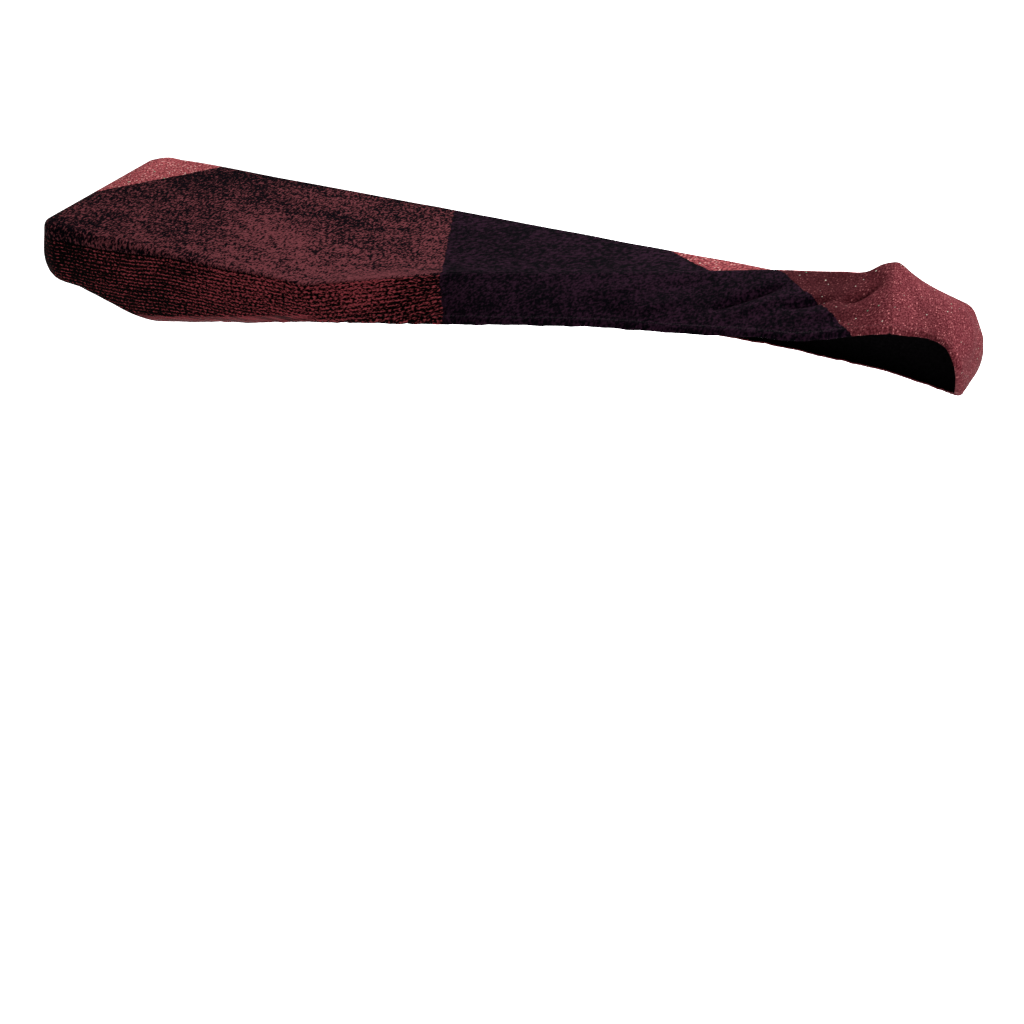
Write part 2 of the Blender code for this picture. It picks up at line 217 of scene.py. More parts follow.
# Stitches along the hem. Their direction is read a step before and after each. A ring has its
# place in lengths of the stitch, and its radius and height in radii of the thread.
STITCH_LENGTH = 0.0024
STITCH_PITCH = 0.0032
STITCH_STEP = 0.001
STITCH_RADIUS = 0.00024
STITCH_SIDES = 6
STITCH_RINGS = ((-0.50, 0.45, -0.5), (-0.36, 1.0, 0.3), (0.36, 1.0, 0.3), (0.50, 0.45, -0.5))

# Soft troughs and ridges, by place along a panel and distance from its top seam or, on the top,
# from the crest. A trough has a positive depth and a ridge a negative one. The depth follows half
# a wave along the fold, from this share of the wave on.
FOLD_START = 0.12
FOLD_COLUMNS = ("from_along", "from_across", "to_along", "to_across", "half_width", "depth")
FRONT_FOLDS = (
    (0.373, 0.071, 0.447, 0.032, 0.010, 0.0030),
    (0.380, 0.069, 0.442, 0.034, 0.0048, 0.0068),
    (0.402, 0.082, 0.464, 0.046, 0.008, -0.0030),
    (0.456, 0.070, 0.512, 0.049, 0.009, 0.0026),
    (0.460, 0.068, 0.508, 0.051, 0.0045, 0.0052),
    (0.474, 0.086, 0.532, 0.066, 0.008, -0.0026),
    (0.516, 0.058, 0.556, 0.034, 0.009, 0.0042),
    (0.522, 0.054, 0.552, 0.036, 0.0045, 0.0044),
    (0.470, 0.030, 0.530, 0.012, 0.012, 0.0024),
    (0.546, 0.014, 0.560, 0.050, 0.009, 0.0050),
    (0.290, 0.070, 0.345, 0.050, 0.008, -0.0022),
    (0.300, 0.034, 0.352, 0.026, 0.014, 0.0030),
    (0.250, 0.062, 0.288, 0.078, 0.010, 0.0022),
    (0.236, 0.044, 0.290, 0.018, 0.008, -0.0018),
    (0.520, 0.088, 0.560, 0.074, 0.007, 0.0026),
    (0.120, 0.040, 0.190, 0.020, 0.012, 0.0010),
    (-0.020, 0.040, 0.060, 0.012, 0.016, 0.0010),
    (-0.260, 0.070, -0.180, 0.020, 0.016, 0.0008),
    (-0.636, 0.062, -0.606, 0.020, 0.012, 0.0008),
    (-0.590, 0.080, -0.550, 0.036, 0.014, -0.0008),
)
TOP_FOLDS = (
    (0.250, 0.030, 0.420, 0.014, 0.010, 0.0016),
    (0.330, 0.045, 0.480, 0.020, 0.010, -0.0014),
    (0.470, 0.040, 0.548, 0.016, 0.008, 0.0020),
    (0.500, 0.070, 0.556, 0.040, 0.010, -0.0016),
    (-0.640, 0.060, -0.560, 0.020, 0.018, 0.0007),
    (-0.640, 0.240, -0.560, 0.275, 0.018, 0.0007),
    (-0.100, 0.030, 0.100, 0.050, 0.020, -0.0008),
)
BACK_FOLDS = (
    (-0.640, 0.020, -0.600, 0.090, 0.012, 0.0014),
    (-0.420, 0.040, -0.380, 0.100, 0.018, 0.0009),
    (-0.080, 0.030, -0.040, 0.090, 0.020, 0.0009),
    (0.220, 0.020, 0.260, 0.080, 0.018, 0.0012),
    (0.470, 0.016, 0.500, 0.070, 0.014, 0.0020),
    (0.530, 0.014, 0.548, 0.070, 0.010, -0.0014),
)
LEFT_FOLDS = (
    (0.030, 0.015, 0.050, 0.090, 0.012, 0.0014),
    (0.110, 0.030, 0.130, 0.090, 0.016, 0.0010),
    (0.240, 0.018, 0.262, 0.095, 0.014, 0.0014),
)
RIGHT_FOLDS = (
    (0.012, 0.030, 0.036, 0.100, 0.009, 0.0036),
    (0.085, 0.012, 0.100, 0.080, 0.014, -0.0022),
    (0.125, 0.030, 0.140, 0.110, 0.012, 0.0020),
)

# Slow unevenness of the cloth, which grows from the place where the cover gets slack.
UNEVEN_SIZE = 0.075
UNEVEN_DEPTH = 0.0007
SLACK_DEPTH = 0.0014
SLACK_START = 0.05
SLACK_GROWTH = 0.4

# Puckers that the elastic draws beside the hem: length, depth and start of each wave. Slow waves
# shift them, by strength, radians for each metre and start.
PUCKER_REACH = 0.020
PUCKERS = ((0.013, 0.00016, 0.4), (0.029, 0.00030, 1.7), (0.061, 0.00045, 2.9))
PUCKER_SHIFTS = ((1.6, 61.0, 0.0), (1.1, 23.0, 1.0))

# Borders of a panel's grid, the seams between them, and how often the seams are evened out.
FIRST_ROW = np.s_[0]
LAST_ROW = np.s_[-1]
LEFT_SIDE = np.s_[:, 0]
RIGHT_SIDE = np.s_[:, -1]
SEAMS = (
    ("front", FIRST_ROW, "top", FIRST_ROW),
    ("back", FIRST_ROW, "top", LAST_ROW),
    ("left", FIRST_ROW, "top", LEFT_SIDE),
    ("right", FIRST_ROW, "top", RIGHT_SIDE),
    ("left", LEFT_SIDE, "front", LEFT_SIDE),
    ("left", RIGHT_SIDE, "back", LEFT_SIDE),
    ("right", LEFT_SIDE, "front", RIGHT_SIDE),
    ("right", RIGHT_SIDE, "back", RIGHT_SIDE),
)
JOIN_ROUNDS = 3

# The print: slanted lines between its blocks, each by its place along at the crest seam and
# its slant, which is the distance that it moves along for each metre across the cloth. The
# lines are this much blurred, and wander in small teeth and longer waves.
CORAL_TO_MAROON = (-0.772, 0.77)
MAROON_TO_BLACK = (0.030, -0.45)
BLACK_TO_CORAL = (0.430, -1.10)
LINE_BLUR = 0.0006
LINE_TEETH = 0.007
LINE_WAVES = 0.010

# Pitch of the broken rows in the maroon of the drops, and of the ribs and loops of the knit.
ROW_PITCH = 0.0058
RIB_PITCH = 0.0016
LOOP_PITCH = 0.0014

# The smooth strip along the foot of the front, where the cloth is stretched round the edge. Its
# upper side is ragged and a little blurred.
STRIP_STARTS = (-0.500, -0.450)
STRIP_ENDS = (-0.190, -0.130, 1.0, 0.0)
STRIP_WIDTH = 0.012
STRIP_BLUR = 0.002
STRIP_RAGGED = 0.008

# Noises of the print and the knit. Small shares along or across draw the blobs out that way, the
# size is that of a blob, and the shift sets each noise apart.
NOISE_COLUMNS = ("along", "across", "size", "detail", "rough", "shift")
NOISES = {
    "maroon_patches": (0.60, 1.00, 0.0900, 2, 0.50, 3.1),
    "maroon_streaks": (0.22, 1.00, 0.0140, 2, 0.50, 6.6),
    "maroon_speckle": (0.95, 0.70, 0.0030, 2, 0.60, 7.0),
    "row_wander": (1.00, 2.50, 0.0550, 2, 0.50, 1.3),
    "row_breaks": (0.42, 1.00, 0.0020, 1, 0.50, 5.0),
    "black_speckle_top": (0.80, 0.75, 0.0036, 1, 0.50, 2.0),
    "black_speckle_drops": (0.80, 0.75, 0.0023, 1, 0.50, 2.0),
    "black_patches": (0.70, 1.00, 0.0360, 2, 0.50, 8.0),
    "coral_grain": (1.00, 1.00, 0.0032, 1, 0.50, 4.0),
    "coral_patches": (1.00, 1.00, 0.0900, 2, 0.50, 6.0),
    "line_teeth": (1.00, 1.00, 0.0045, 2, 0.60, 12.0),
    "line_waves": (1.00, 1.00, 0.0220, 2, 0.55, 13.0),
    "strip_edge": (0.12, 1.00, 0.0040, 2, 0.60, 14.0),
    "strip_streaks": (0.03, 1.00, 0.0022, 1, 0.50, 15.0),
    "inside_grain": (0.60, 1.00, 0.0028, 2, 0.60, 1.0),
    "fuzz": (1.00, 1.00, 0.0016, 3, 0.60, 9.0),
    "pills": (1.00, 1.00, 0.0085, 2, 0.50, 11.0),
    "thread_twist": (1.00, 1.00, 0.0006, 1, 0.50, 2.0),
}

# How strongly patches and streaks change the level of a ground, and rows wander, in radians.
MAROON_PATCHES = 0.26
MAROON_STREAKS = 0.20
ROW_WANDER = 7.0
BLACK_PATCHES = 0.34
CORAL_PATCHES = 0.24

# Slow changes along or across the cloth: from one place to another, and the value at each.
MAROON_ALONG = (-0.62, -0.10, -0.160, -0.060)
ROWS_AT_LEFT = (-0.60, -0.30, -0.025, 0.0)
ROWS_AT_BLACK = (-0.18, 0.0, 0.0, -0.025)
ROW_STRENGTH = (-0.55, -0.12, 0.105, 0.065)
TOP_AT_BACK = (0.10, 0.29, 0.0, -0.05)
# Painted shade: where the coral of the front drop is darkened beside the black, left of the bump.
PAINTED_SHADE_ALONG = (0.50, 0.61, 0.70, 0.0)
PAINTED_SHADE_ACROSS = (-0.003, 0.0, 1.0, 0.0)

# Levels of grain between which a ground turns from its dark colour to its light one.
ROW_RANGE = (0.48, 0.71)
SPECKLE_RANGE = (0.43, 0.61)
BLACK_RANGE = (0.54, 0.94)
CORAL_RANGE = (0.38, 0.66)
STRIP_RANGE = (0.35, 0.70)
INSIDE_RANGE = (0.30, 0.70)
GREEN_RANGE = (0.76, 0.80)

# Dots of glitter: the size of the cells that they lie in, from where to where they fade in shares
# of it, how softly their chance sets in, and their strength.
DOT_COLUMNS = ("cell", "whole_to", "gone_at", "chance_fade", "strength")
FLECKS = (0.0042, 0.20, 0.42, 0.30, 1.0)
SPARKS = (0.0085, 0.12, 0.20, 0.06, 0.85)

# Relief of the knit against that of its ribs, and the heights of its two bumps.
FUZZ_RELIEF = 1.6
LOOP_RELIEF = 0.6
KNIT_BUMP = 0.00010
PILL_BUMP = 0.0008

# Roughness of the knit over its fuzz, its gloss and sheen, and the change in stretched cloth.
KNIT_ROUGHNESS = (0.3, 0.7, 0.70, 0.90)
SMOOTH_ROUGHNESS = -0.20
GLOSS = 0.006
SMOOTH_GLOSS = 0.03
KNIT_SHEEN = {"Sheen Weight": 0.004, "Sheen Roughness": 0.35}

THREAD_BUMP = 0.0001
THREAD_FINISH = {"Roughness": 0.7, "Specular IOR Level": 0.1}

# The studio: a white world, a pale floor with a faint glow, and three soft lights, each with its
# name, place, target, size and power.
WORLD_STRENGTH = 1.0
FLOOR_HEIGHT = -0.78
FLOOR_REACH = 14.0
FLOOR_FINISH = {
    "Base Color": (0.9, 0.9, 0.9),
    "Roughness": 0.9,
    "Emission Color": (1.0, 1.0, 1.0),
    "Emission Strength": 0.13,
}
LIGHTS = (
    ("key", (0.3, 2.1, 1.9), (0.1, 0, 0), 0.7, 240),
    ("side", (2.6, -0.6, 1.0), (0.3, 0, 0), 0.9, 90),
    ("front", (-0.8, -2.6, 1.8), (0, 0, 0), 1.8, 16),
)

# The camera: its lens and sensor in millimetres, its place, and its turns in degrees.
CAMERA_LENS = 44.512
CAMERA_SENSOR = 36
CAMERA_PLACE = (0.87574, -1.34053, 0.77084)
CAMERA_TURNS = (52.933, 2.887, 29.15)

# The studio is bright, so the cloth reflects this share of the screen colours given below.
SCREEN_SHARE = 0.27


def colour(red, green, blue):
    """Linear colour of the cloth for a screen colour from 0 to 255."""
    return tuple(
        SCREEN_SHARE * (part / 12.92 if part <= 0.04 else ((part + 0.055) / 1.055) ** 2.4)
        for part in (red / 255, green / 255, blue / 255)
    )


MAROON_DARK = colour(6, 1, 8)
MAROON_LIGHT = colour(124, 63, 69)
MAROON_ROW_DARK = colour(3, 0, 1)
MAROON_ROW_LIGHT = colour(172, 72, 80)
STRIP_DARK = colour(62, 12, 18)
STRIP_LIGHT = colour(168, 64, 72)
BLACK_DEEP = colour(4, 2, 8)
BLACK_SPECK = colour(52, 27, 45)
# Painted shade: the dark colour that the coral of the front drop is mixed towards beside the
# black.
CORAL_PAINTED_SHADE_COLOUR = colour(40, 10, 15)
PALE_SPARK = colour(255, 244, 225)
GREEN_SPARK = colour(150, 215, 175)
INSIDE_DARK = colour(10, 8, 10)
INSIDE_LIGHT = colour(26, 22, 25)
THREAD_DARK = colour(10, 4, 8)
THREAD_LIGHT = colour(30, 13, 19)

# The coral of the top and of the drops: its colours, the size of its grain against the top's,
# and the share of its cells that have no fleck and no spark. The colours are painted light and
# shade: lighter on the top, where more light falls, and darker on the drops.
CORAL_ON_TOP_PAINTED_LIT = {
    "dark": colour(112, 40, 48),
    "bright": colour(208, 106, 110),
    "fleck": colour(255, 190, 182),
    "grain": 1.0,
    "no_fleck": 0.44,
    "no_spark": 0.72,
}
CORAL_ON_DROPS_PAINTED_SHADE = {
    "dark": colour(98, 34, 42),
    "bright": colour(160, 78, 86),
    "fleck": colour(244, 146, 148),
    "grain": 0.62,
    "no_fleck": 0.58,
    "no_spark": 0.83,
}


def lengths(vectors):
    """Lengths of vectors, none of them 0."""
    return np.maximum(np.linalg.norm(vectors, axis=-1, keepdims=True), TINY)


def unit(vectors):
    """The same directions at length 1."""
    return vectors / lengths(vectors)


def place(x, inward, up):
    """Points from their place along, their distance behind the front plane and their height."""
    return np.stack([x, inward - FIT_DEPTH / 2, up], axis=-1)


def line_of(table, name):
    """Points of a named line of a table."""
    return place(table[name + "_x"], table[name + "_in"], table[name + "_up"])


def read_table(names, rows, keys):
    """Columns of a table by name, read smoothly at the given values of the first column."""
    table = np.array(rows)
    knots = table[:, 0]
    widths = np.diff(knots)[:, None]
    slopes = np.diff(table, axis=0) / widths
    tangents = np.empty_like(table)
    tangents[0] = slopes[0]
    tangents[-1] = slopes[-1]
    mixed = slopes[:-1] * widths[1:] + slopes[1:] * widths[:-1]
    tangents[1:-1] = mixed / (widths[1:] + widths[:-1])
    cell = np.clip(np.searchsorted(knots, keys, side="right") - 1, 0, len(knots) - 2)
    width = widths[cell]
    t = (keys[:, None] - knots[cell][:, None]) / width
    values = table[cell] * (2 * t**3 - 3 * t**2 + 1)
    values += table[cell + 1] * (3 * t**2 - 2 * t**3)
    values += tangents[cell] * width * (t**3 - 2 * t**2 + t)
    values += tangents[cell + 1] * width * (t**3 - t**2)
    return dict(zip(names, values.T))


def bend(before, corner, after, radius, shares):
    """Points on a rounded corner, at shares of its turn from 0 to 1."""
    back = before - corner
    forth = after - corner
    start = corner + back * np.minimum(radius / lengths(back), BEND_LIMIT)
    end = corner + forth * np.minimum(radius / lengths(forth), BEND_LIMIT)
    return [start * (1 - t) ** 2 + corner * 2 * t * (1 - t) + end * t**2 for t in shares]


def drop(seam, table, side):
    """Middle, foot and hem corners of a drop that hangs from its seam and is tucked under. side
    is 1 where the cover's outside lies to the right of the line of feet, and -1 on its left."""
    foot = line_of(table, "foot")
    tuck = table["tuck"][:, None]
    bow = table["bow"][:, None]
    run = np.gradient(foot, axis=0)
    outward = unit(np.cross(foot - seam, run)) * side
    middle = (seam + foot) / 2 + outward * bow
    rise = np.array([0, 0, TUCK_RISE])
    hem = foot + (rise - outward) * tuck
    return middle, foot, hem


def walked(grid, axis):
    """Distance walked along a line or a grid from its first point, row or column."""
    steps = np.linalg.norm(np.diff(grid, axis=axis), axis=-1)
    start = np.zeros_like(np.take(steps, [0], axis=axis))
    return np.concatenate([start, np.cumsum(steps, axis=axis)], axis=axis)


def spaced(end_rows, total, steps):
    """Distances at a seam's rows, at the given rows before the end, and even steps between."""
    first = np.array(SEAM_ROWS)[:, None] + 0 * total
    last = total - np.array(end_rows)[::-1, None]
    shares = np.linspace(0, 1, steps + 1)[1:-1, None]
    return np.concatenate([first, first[-1] + (last[0] - first[-1]) * shares, last])


def respace(grid, hemmed):
    """Grid with the rows of a panel's fine mesh, and their distances down each column."""
    end_rows = HEM_ROWS if hemmed else SEAM_ROWS
    steps = DROP_STEPS if hemmed else TOP_STEPS
    down = walked(grid, 0)
    wanted = spaced(end_rows, down[-1], steps)
    columns = []
    for c in range(grid.shape[1]):
        parts = [np.interp(wanted[:, c], down[:, c], grid[:, c, k]) for k in range(3)]
        columns.append(np.stack(parts, axis=-1))
    return np.stack(columns, axis=1), wanted


def station_keys():
    """Places along the cover where the fine mesh has a column."""
    low = FRONT_SECTIONS[0][0]
    high = FRONT_SECTIONS[-1][0]
    taut = np.arange(low + SEAM_ROWS[-1], SLACK_FROM, COLUMN_STEP)
    slack = np.arange(SLACK_FROM, high - SEAM_ROWS[-1], SLACK_COLUMN_STEP)
    start = low + np.array(SEAM_ROWS[:-1])
    end = high - np.array(SEAM_ROWS)[::-1]
    return np.concatenate([start, taut, slack, end])


def follow(corners, radii, first=SECOND_HALF, last=None):
    """Dense rows along a rounded path, from the bend at its second corner to its last corner, or
    to the middle of the bend before it where last gives that bend's shares."""
    rows = []
    end = len(corners) - 2
    for i in range(1, end + 1):
        shares = WHOLE_BEND
        if i == 1:
            shares = first
        elif i == end and last is not None:
            shares = last
        points = bend(corners[i - 1], corners[i], corners[i + 1], radii[i - 1], shares)
        if rows:
            gap = points[0] - rows[-1]
            rows += [rows[-1] + gap * k / (RUN_POINTS + 1) for k in range(1, RUN_POINTS + 1)]
        rows += points
    if last is None:
        gap = corners[-1] - rows[-1]
        rows += [rows[-1] + gap * k / RUN_POINTS for k in range(1, RUN_POINTS + 1)]
    return np.array(rows)


def main_grids():
    """Dense grids of the front, top and back panels: rows across the cover, columns along it."""
    keys = station_keys()
    front = read_table(FRONT_COLUMNS, FRONT_SECTIONS, keys)
    top = read_table(TOP_COLUMNS, TOP_SECTIONS, keys)
    rear = read_table(REAR_COLUMNS, REAR_SECTIONS, keys)

    crest = place(keys, front["crest_in"], front["crest_up"])
    reach = rear["seam_x"] - keys
    shelf_x = keys + reach * SHELF_SHARE + top["swell"]
    edge_x = keys + reach * EDGE_SHARE + top["swell"]
    shelf = place(shelf_x, top["shelf_in"], top["shelf_up"])
    edge = place(edge_x, top["edge_in"], top["edge_up"])
    rear_seam = line_of(rear, "seam")
    front_drop = drop(crest, front, 1)
    rear_drop = drop(rear_seam, rear, -1)

    crest_round = top["crest_round"][:, None]
    shelf_round = top["shelf_round"][:, None]
    drop_rounds = [MIDDLE_ROUND, FOOT_ROUND]
    front_grid = follow([shelf, crest, *front_drop], [crest_round] + drop_rounds)
    rear_grid = follow([edge, rear_seam, *rear_drop], [SEAM_ROUND] + drop_rounds)
    top_grid = follow(
        [front_drop[0], crest, shelf, edge, rear_seam, rear_drop[0]],
        [crest_round, shelf_round, EDGE_ROUND, SEAM_ROUND],
        last=FIRST_HALF,
    )
    return front_grid, top_grid, rear_grid


def end_grid(seam, front_side, rear_side, table, side):
    """Dense grid of an end panel below its top seam, between the sides of the front and back."""
    reach = walked(seam, 0)
    share = reach / reach[-1]
    end = read_table(END_COLUMNS, table, share)
    corners = drop(seam, end, side)
    rounds = [SEAM_ROUND, MIDDLE_ROUND, FOOT_ROUND]
    grid = follow([seam, seam, *corners], rounds, first=START_BEND)
    near_front = np.clip(1 - share / CORNER_SHARE, 0, 1) ** 2
    near_rear = np.clip(1 - (1 - share) / CORNER_SHARE, 0, 1) ** 2
    grid += (front_side - grid[:, 0])[:, None] * near_front[:, None]
    grid += (rear_side - grid[:, -1])[:, None] * near_rear[:, None]
    return grid


def normals_of(grid, side):
    """Unit normals of a grid, each the mean of the faces around its point, on the given side."""
    across = grid[1:, 1:] - grid[:-1, :-1]
    along = grid[:-1, 1:] - grid[1:, :-1]
    faces = unit(np.cross(across, along)) * side
    normals = np.zeros_like(grid)
    normals[:-1, :-1] += faces
    normals[:-1, 1:] += faces
    normals[1:, :-1] += faces
    normals[1:, 1:] += faces
    return unit(normals)


def join(one, one_border, other, other_border):
    """Give two panels the same normals along the seam that they share."""
    shared = unit(one["normal"][one_border] + other["normal"][other_border])
    one["normal"][one_border] = shared
    other["normal"][other_border] = shared


def fold_relief(along, across, rows):
    """Depth of the soft troughs and ridges of one panel."""
    depth = np.zeros_like(along)
    at = np.stack([along, across], axis=-1)
    for row in rows:
        fold = dict(zip(FOLD_COLUMNS, row))
        start = np.array([fold["from_along"], fold["from_across"]])
        reach = np.array([fold["to_along"], fold["to_across"]]) - start
        share = np.clip((at - start) @ reach / (reach @ reach), 0, 1)
        away = np.linalg.norm(at - start - share[..., None] * reach, axis=-1)
        taper = np.sin(np.pi * (FOLD_START + (1 - 2 * FOLD_START) * share))
        depth += fold["depth"] * taper * np.exp(-((away / fold["half_width"]) ** 2))
    return depth


def unevenness(grid):
    """Slow rise and fall of the cloth, stronger where the cover is slack."""
    points = grid.reshape(-1, 3) / UNEVEN_SIZE
    wave = np.array([noise.noise(Vector(point)) for point in points])
    slack = np.clip((grid[..., 0] - SLACK_START) / SLACK_GROWTH, 0, 1)
    return wave.reshape(grid.shape[:2]) * (UNEVEN_DEPTH + (SLACK_DEPTH - UNEVEN_DEPTH) * slack)


def pucker_relief(along, to_hem):
    """Small gathers that the elastic draws into the cloth beside the hem."""
    fade = np.exp(-((to_hem / PUCKER_REACH) ** 2))
    shift = sum(far * np.sin(along * turns + start) for far, turns, start in PUCKER_SHIFTS)
    waves = [
        depth * np.sin(2 * np.pi * along / length + start + shift)
        for length, depth, start in PUCKERS
    ]
    return sum(waves) * fade


def thickness_of(to_seam, to_hem):
    """Thickness of the knit: sewn thin at its seams, and padded in the casing of the hem."""
    casing = np.clip((CASING_WIDTH + CASING_BEYOND - to_hem) / CASING_FADE, 0, 1)
    casing = casing * casing * (3 - 2 * casing)
    thick = KNIT + (CASING - KNIT) * casing
    thick -= STITCH_GROOVE * np.exp(-(((to_hem - CASING_WIDTH) / GROOVE_WIDTH) ** 2))
    nose = np.clip(to_hem / NOSE, 0, 1)
    thick *= NOSE_SHARE + (1 - NOSE_SHARE) * np.sqrt(1 - (1 - nose) ** 2)
    seam = np.exp(-((to_seam / SEAM_REACH) ** 2))
    return thick * (1 - seam) + np.minimum(thick, SEAM_KNIT) * seam


def make_panel(name, dense, side, folds, hemmed=True, is_end=False):
    """Panel as a fine grid with its normals, cloth coordinates and distances. side sets which
    way the normals point, which is out of the cover."""
    grid, across = respace(dense, hemmed)
    columns = walked(grid, 1)
    to_side = np.minimum(columns, columns[:, -1:] - columns)
    far = np.full(across.shape, FAR)
    to_hem = across[-1] - across if hemmed else far
    to_end = far if hemmed else across[-1] - across
    return {
        "name": name,
        "grid": grid,
        "side": side,
        "normal": normals_of(grid, side),
        "along": columns if is_end else grid[..., 0],
        "across": across,
        "folds": folds,
        "to_seam": np.minimum(np.minimum(across, to_side), to_end),
        "to_hem": to_hem,
    }


def make_panels():
    """The five panels of the cover, joined at their seams."""
    front, top, rear = main_grids()
    panels = {
        "top": make_panel("top", top, -1, TOP_FOLDS, hemmed=False),
        "front": make_panel("front", front, 1, FRONT_FOLDS),
        "back": make_panel("back", rear, -1, BACK_FOLDS),
    }
    top = panels["top"]["grid"]
    left = end_grid(top[:, 0], front[:, 0], rear[:, 0], LEFT_END, -1)
    right = end_grid(top[:, -1], front[:, -1], rear[:, -1], RIGHT_END, 1)
    panels["left"] = make_panel("left_end", left, -1, LEFT_FOLDS, is_end=True)
    panels["right"] = make_panel("right_end", right, 1, RIGHT_FOLDS, is_end=True)
    for _ in range(JOIN_ROUNDS):
        for one, one_border, other, other_border in SEAMS:
            join(panels[one], one_border, panels[other], other_border)
    return panels


def lay_out_print(panels):
    """Place of the panels' points on the whole print, and their height above the front's foot."""
    width = panels["top"]["across"]
    for panel in panels.values():
        panel["block"] = (panel["grid"][..., 0], panel["across"])
        panel["above_foot"] = np.full_like(panel["across"], FAR)
    front = panels["front"]
    back = panels["back"]
    front["block"] = (front["grid"][..., 0], -front["across"])
    back["block"] = (back["grid"][..., 0], width[-1] + back["across"])
    for side, column in (("left", 0), ("right", -1)):
        end = panels[side]
        level = 0 * end["across"]
        end["block"] = (end["grid"][0, :, 0] + level, width[:, column] + level)
    tuck = read_table(FRONT_COLUMNS, FRONT_SECTIONS, station_keys())["tuck"]
    front["above_foot"] = front["to_hem"] - tuck


def shape_panel(panel):
    """Inner and outer faces of a panel, with its relief and the thickness of its cloth."""
    grid = panel["grid"]
    free = 1 - np.exp(-((panel["to_seam"] / RELIEF_FADE) ** 2))
    relief = -fold_relief(panel["along"], panel["across"], panel["folds"])
    relief += unevenness(grid)
    relief += pucker_relief(panel["along"], panel["to_hem"])
    offset = relief * free - SEAM_CURL * np.exp(-((panel["to_seam"] / SEAM_REACH) ** 2))
    thickness = thickness_of(panel["to_seam"], panel["to_hem"])
    inner = grid + panel["normal"] * offset[..., None]
    outer = inner + panel["normal"] * thickness[..., None]
    return inner, outer


def quads(rows, columns, first, flip):
    """Faces of a grid of points whose first point has the given number."""
    numbers = first + np.arange(rows * columns).reshape(rows, columns)
    corners = [numbers[:-1, :-1], numbers[:-1, 1:], numbers[1:, 1:], numbers[1:, :-1]]
    if flip:
        corners.reverse()
    return np.stack(corners, axis=-1).reshape(-1, 4)


def rim(rows, columns, flip):
    """Faces that close the border between the inner and the outer grid."""
    numbers = np.arange(rows * columns).reshape(rows, columns)
    loop = [numbers[0, :-1], numbers[:-1, -1], numbers[-1, :0:-1], numbers[:0:-1, 0]]
    loop = np.concatenate(loop)
    following = np.roll(loop, -1)
    outer = rows * columns
    corners = [loop, following, following + outer, loop + outer]
    if flip:
        corners.reverse()
    return np.stack(corners, axis=-1)


def add_object(name, data):
    """New object in the scene."""
    made = bpy.data.objects.new(name, data)
    bpy.context.scene.collection.objects.link(made)
    return made


def add_layer(mesh, name, along, across):
    """UV layer with the same cloth coordinates on both faces of a panel."""
    flat = np.stack([along, across], axis=-1).reshape(-1, 2)
    flat = np.concatenate([flat, flat])
    loops = np.empty(len(mesh.loops), dtype=np.int32)
    mesh.loops.foreach_get("vertex_index", loops)
    layer = mesh.uv_layers.new(name=name)
    layer.uv.foreach_set("vector", flat[loops].ravel())


def add_cloth(panel, materials):
    """One panel of cloth as a closed thin sheet, with two materials: outside and inside."""
    inner, outer = shape_panel(panel)
    panel["outer"] = outer
    rows, columns = inner.shape[:2]
    flip = panel["side"] > 0
    points = np.concatenate([inner.reshape(-1, 3), outer.reshape(-1, 3)])
    inside = quads(rows, columns, 0, not flip)
    outside = quads(rows, columns, rows * columns, flip)
    border = rim(rows, columns, not flip)
    faces = np.concatenate([inside, outside, border])
    mesh = bpy.data.meshes.new(panel["name"] + "_cloth")
    mesh.from_pydata(points.tolist(), [], faces.tolist())
    for material in materials:
        mesh.materials.append(material)
    is_inside = np.arange(len(faces)) < len(inside)
    mesh.polygons.foreach_set("material_index", is_inside.astype(np.int32))
    mesh.shade_smooth()
    add_layer(mesh, "weave", panel["along"], panel["across"])
    add_layer(mesh, "blocks", *panel["block"])
    add_layer(mesh, "edge", panel["above_foot"], 0 * panel["above_foot"])
    mesh.validate()
    mesh.update()
    piece = add_object(panel["name"] + "_cloth", mesh)
    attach(piece, "root")
    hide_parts(panel["name"] + "_panel")
    return piece


def stitch_rings(panel, row):
    """Rings of points for each stitch along one row of a panel: stitches, points and places."""
    line = panel["outer"][row]
    reach = walked(line, 0)
    centres = np.arange(STITCH_PITCH, reach[-1] - STITCH_PITCH / 2, STITCH_PITCH)

    def at(points, places):
        return np.stack([np.interp(places, reach, points[:, k]) for k in range(3)], axis=-1)

    middle = at(line, centres)
    forward = unit(at(line, centres + STITCH_STEP) - at(line, centres - STITCH_STEP))
    outward = unit(at(panel["normal"][row], centres))
    sideways = np.cross(forward, outward)
    points = []
    for share, width, lift in STITCH_RINGS:
        centre = middle + forward * share * STITCH_LENGTH + outward * lift * STITCH_RADIUS
        for turn in np.arange(STITCH_SIDES) * 2 * np.pi / STITCH_SIDES:
            spoke = outward * np.sin(turn) + sideways * np.cos(turn)
            points.append(centre + spoke * STITCH_RADIUS * width)
    return np.stack(points, axis=1)


def stitch_faces(stitches):
    """Faces around the given number of stitches and over both ends of each."""
    faces = []
    count = len(STITCH_RINGS) * STITCH_SIDES
    sides = range(STITCH_SIDES)
    for base in range(0, stitches * count, count):
        for ring in range(base, base + count - STITCH_SIDES, STITCH_SIDES):
            for side in sides:
                here = ring + side
                beyond = ring + (side + 1) % STITCH_SIDES
                faces.append((here, beyond, beyond + STITCH_SIDES, here + STITCH_SIDES))
        faces.append(tuple(base + side for side in reversed(sides)))
        faces.append(tuple(base + count - STITCH_SIDES + side for side in sides))
    return faces


